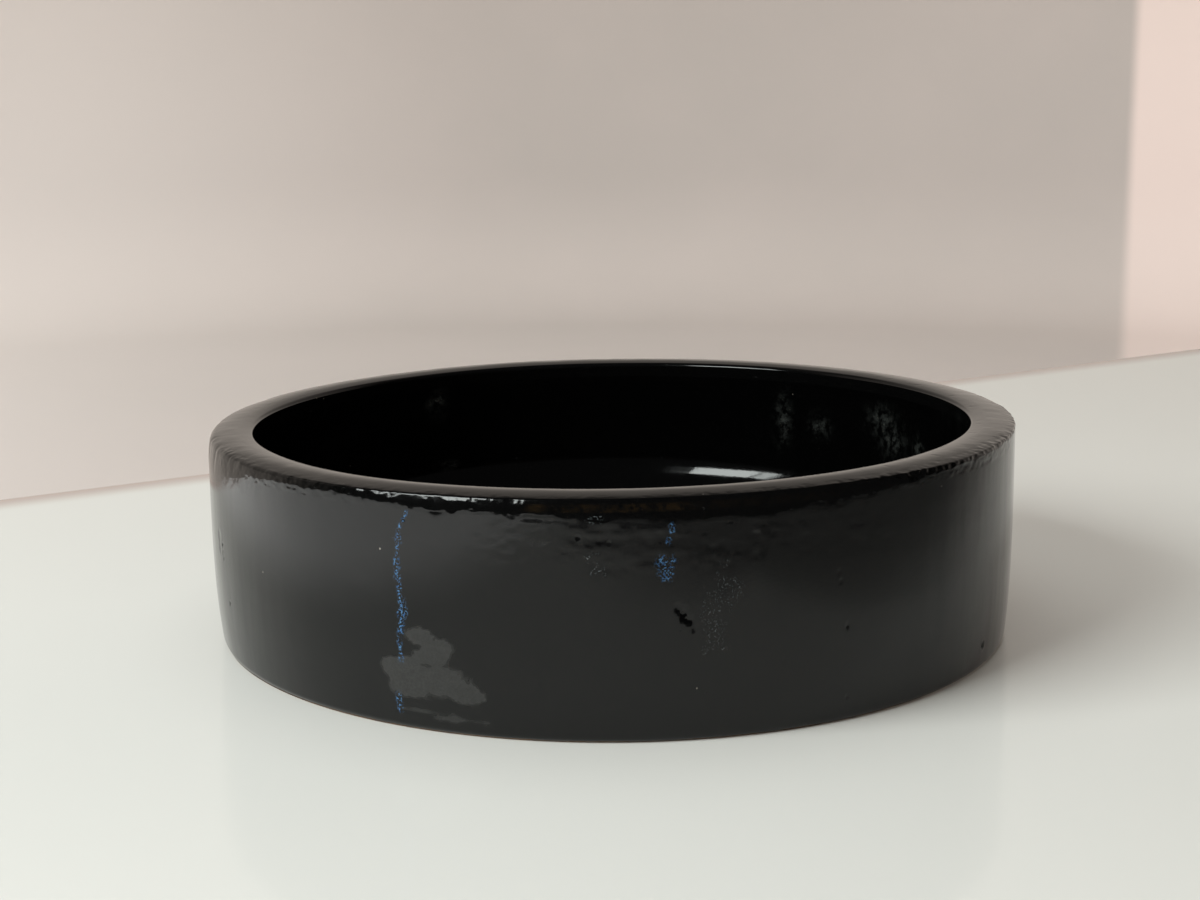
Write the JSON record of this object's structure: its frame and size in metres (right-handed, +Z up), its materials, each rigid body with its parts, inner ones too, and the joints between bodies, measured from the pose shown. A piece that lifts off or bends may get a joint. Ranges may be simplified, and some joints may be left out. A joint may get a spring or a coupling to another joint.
{
  "type": "ikebana suiban",
  "caption": "Wide, low, round stoneware basin with a thick straight wall, a flat rim and a glossy black glaze, for flower arranging.",
  "frame": {"origin": "middle of the foot, on the surface that the basin stands on", "axes": "+Z up along the basin's axis, -Y towards the front, where the long blue run is, and +X to the right seen from the front"},
  "size_m": [0.2698, 0.2698, 0.0715],
  "materials": {
    "fired_clay": "bare, fine-grained fired stoneware",
    "fired_slip": "bare fired slip",
    "black_glaze": "glossy near-black glaze with small pits and blue runs",
    "rim_glaze": "glossy near-black glaze that breaks to amber where it is thin"
  },
  "bodies": {
    "root": {"base_slab": "fired_clay", "wall_ring": "fired_clay", "joint_slip": "fired_slip", "corner_coil": "fired_clay", "outer_glaze": "black_glaze", "rim_glaze": "rim_glaze", "liner_glaze": "black_glaze", "floor_glaze": "black_glaze"}
  },
  "joints": []
}
